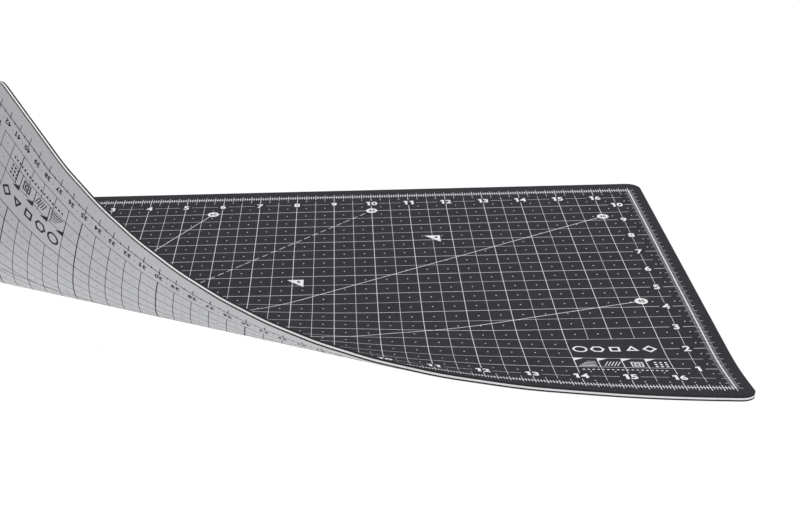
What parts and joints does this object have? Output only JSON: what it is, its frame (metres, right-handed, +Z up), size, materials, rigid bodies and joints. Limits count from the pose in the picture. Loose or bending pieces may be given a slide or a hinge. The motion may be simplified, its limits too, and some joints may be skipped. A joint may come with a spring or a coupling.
{
  "type": "self-healing cutting mat",
  "caption": "Flexible rectangular laminated cutting mat with rounded corners, charcoal on one side and grey on the other, one corner curled up.",
  "frame": {"origin": "middle of the mat laid flat, on the underside that lies on the table", "axes": "+X along the long edge towards the corner that stays down, +Y towards the back edge, +Z up out of the charcoal face"},
  "size_m": [0.4526, 0.3022, 0.1499],
  "materials": {
    "grey_face": "matt, finely grained",
    "black_backing": "matt cut edge",
    "white_core": "smooth cut edge",
    "charcoal_face": "matt, finely grained"
  },
  "bodies": {
    "flat_part": {"flat_grey_face": "grey_face", "flat_black_backing": "black_backing", "flat_white_core": "white_core", "flat_charcoal_face": "charcoal_face"},
    "strip_01": {"strip_01_grey_face": "grey_face", "strip_01_black_backing": "black_backing", "strip_01_white_core": "white_core", "strip_01_charcoal_face": "charcoal_face"},
    "strip_02": {"strip_02_grey_face": "grey_face", "strip_02_black_backing": "black_backing", "strip_02_white_core": "white_core", "strip_02_charcoal_face": "charcoal_face"},
    "strip_03": {"strip_03_grey_face": "grey_face", "strip_03_black_backing": "black_backing", "strip_03_white_core": "white_core", "strip_03_charcoal_face": "charcoal_face"},
    "strip_04": {"strip_04_grey_face": "grey_face", "strip_04_black_backing": "black_backing", "strip_04_white_core": "white_core", "strip_04_charcoal_face": "charcoal_face"},
    "strip_05": {"strip_05_grey_face": "grey_face", "strip_05_black_backing": "black_backing", "strip_05_white_core": "white_core", "strip_05_charcoal_face": "charcoal_face"},
    "strip_06": {"strip_06_grey_face": "grey_face", "strip_06_black_backing": "black_backing", "strip_06_white_core": "white_core", "strip_06_charcoal_face": "charcoal_face"},
    "strip_07": {"strip_07_grey_face": "grey_face", "strip_07_black_backing": "black_backing", "strip_07_white_core": "white_core", "strip_07_charcoal_face": "charcoal_face"},
    "strip_08": {"strip_08_grey_face": "grey_face", "strip_08_black_backing": "black_backing", "strip_08_white_core": "white_core", "strip_08_charcoal_face": "charcoal_face"},
    "strip_09": {"strip_09_grey_face": "grey_face", "strip_09_black_backing": "black_backing", "strip_09_white_core": "white_core", "strip_09_charcoal_face": "charcoal_face"},
    "strip_10": {"strip_10_grey_face": "grey_face", "strip_10_black_backing": "black_backing", "strip_10_white_core": "white_core", "strip_10_charcoal_face": "charcoal_face"},
    "strip_11": {"strip_11_grey_face": "grey_face", "strip_11_black_backing": "black_backing", "strip_11_white_core": "white_core", "strip_11_charcoal_face": "charcoal_face"},
    "strip_12": {"strip_12_grey_face": "grey_face", "strip_12_black_backing": "black_backing", "strip_12_white_core": "white_core", "strip_12_charcoal_face": "charcoal_face"}
  },
  "joints": [
    {"name": "bend_01", "type": "hinge", "parent": "flat_part", "child": "strip_01", "pos_m": [0.00003, -0.0316, 0.003], "axis": [-0.9436, 0.3312, 0], "range_deg": [-8.1, 2.4]},
    {"name": "bend_02", "type": "hinge", "parent": "strip_01", "child": "strip_02", "pos_m": [-0.02884, -0.05598, 0.00763], "axis": [-0.9017, 0.4321, -0.0155], "range_deg": [-8.1, 2.4]},
    {"name": "bend_03", "type": "hinge", "parent": "strip_02", "child": "strip_03", "pos_m": [-0.05797, -0.05794, 0.0114], "axis": [-0.8775, 0.4787, -0.0307], "range_deg": [-8.1, 2.4]},
    {"name": "bend_04", "type": "hinge", "parent": "strip_03", "child": "strip_04", "pos_m": [-0.07907, -0.05935, 0.01594], "axis": [-0.8547, 0.5167, -0.0505], "range_deg": [-8.1, 2.4]},
    {"name": "bend_05", "type": "hinge", "parent": "strip_04", "child": "strip_05", "pos_m": [-0.09554, -0.06016, 0.02106], "axis": [-0.8332, 0.548, -0.0743], "range_deg": [-8.1, 2.4]},
    {"name": "bend_06", "type": "hinge", "parent": "strip_05", "child": "strip_06", "pos_m": [-0.10908, -0.0605, 0.02676], "axis": [-0.8124, 0.5741, -0.1022], "range_deg": [-8.1, 2.4]},
    {"name": "bend_07", "type": "hinge", "parent": "strip_06", "child": "strip_07", "pos_m": [-0.12091, -0.0603, 0.03322], "axis": [-0.7916, 0.5959, -0.1351], "range_deg": [-8.1, 2.4]},
    {"name": "bend_08", "type": "hinge", "parent": "strip_07", "child": "strip_08", "pos_m": [-0.13167, -0.05948, 0.04067], "axis": [-0.7702, 0.6135, -0.1744], "range_deg": [-8.1, 2.4]},
    {"name": "bend_09", "type": "hinge", "parent": "strip_08", "child": "strip_09", "pos_m": [-0.1416, -0.05795, 0.04944], "axis": [-0.7476, 0.626, -0.222], "range_deg": [-8.1, 2.4]},
    {"name": "bend_10", "type": "hinge", "parent": "strip_09", "child": "strip_10", "pos_m": [-0.15064, -0.05561, 0.0599], "axis": [-0.7234, 0.6314, -0.2794], "range_deg": [-8.1, 2.4]},
    {"name": "bend_11", "type": "hinge", "parent": "strip_10", "child": "strip_11", "pos_m": [-0.15843, -0.05237, 0.07258], "axis": [-0.6975, 0.6265, -0.3477], "range_deg": [-8.1, 2.4]},
    {"name": "bend_12", "type": "hinge", "parent": "strip_11", "child": "strip_12", "pos_m": [-0.1641, -0.04837, 0.08844], "axis": [-0.6698, 0.6072, -0.4274], "range_deg": [-8.1, 2.4]}
  ],
  "couplings": [
    {"joint": "bend_02", "follows": "bend_01", "ratio": 1},
    {"joint": "bend_03", "follows": "bend_01", "ratio": 1},
    {"joint": "bend_04", "follows": "bend_01", "ratio": 1},
    {"joint": "bend_05", "follows": "bend_01", "ratio": 1},
    {"joint": "bend_06", "follows": "bend_01", "ratio": 1},
    {"joint": "bend_07", "follows": "bend_01", "ratio": 1},
    {"joint": "bend_08", "follows": "bend_01", "ratio": 1},
    {"joint": "bend_09", "follows": "bend_01", "ratio": 1},
    {"joint": "bend_10", "follows": "bend_01", "ratio": 1},
    {"joint": "bend_11", "follows": "bend_01", "ratio": 1},
    {"joint": "bend_12", "follows": "bend_01", "ratio": 1}
  ]
}
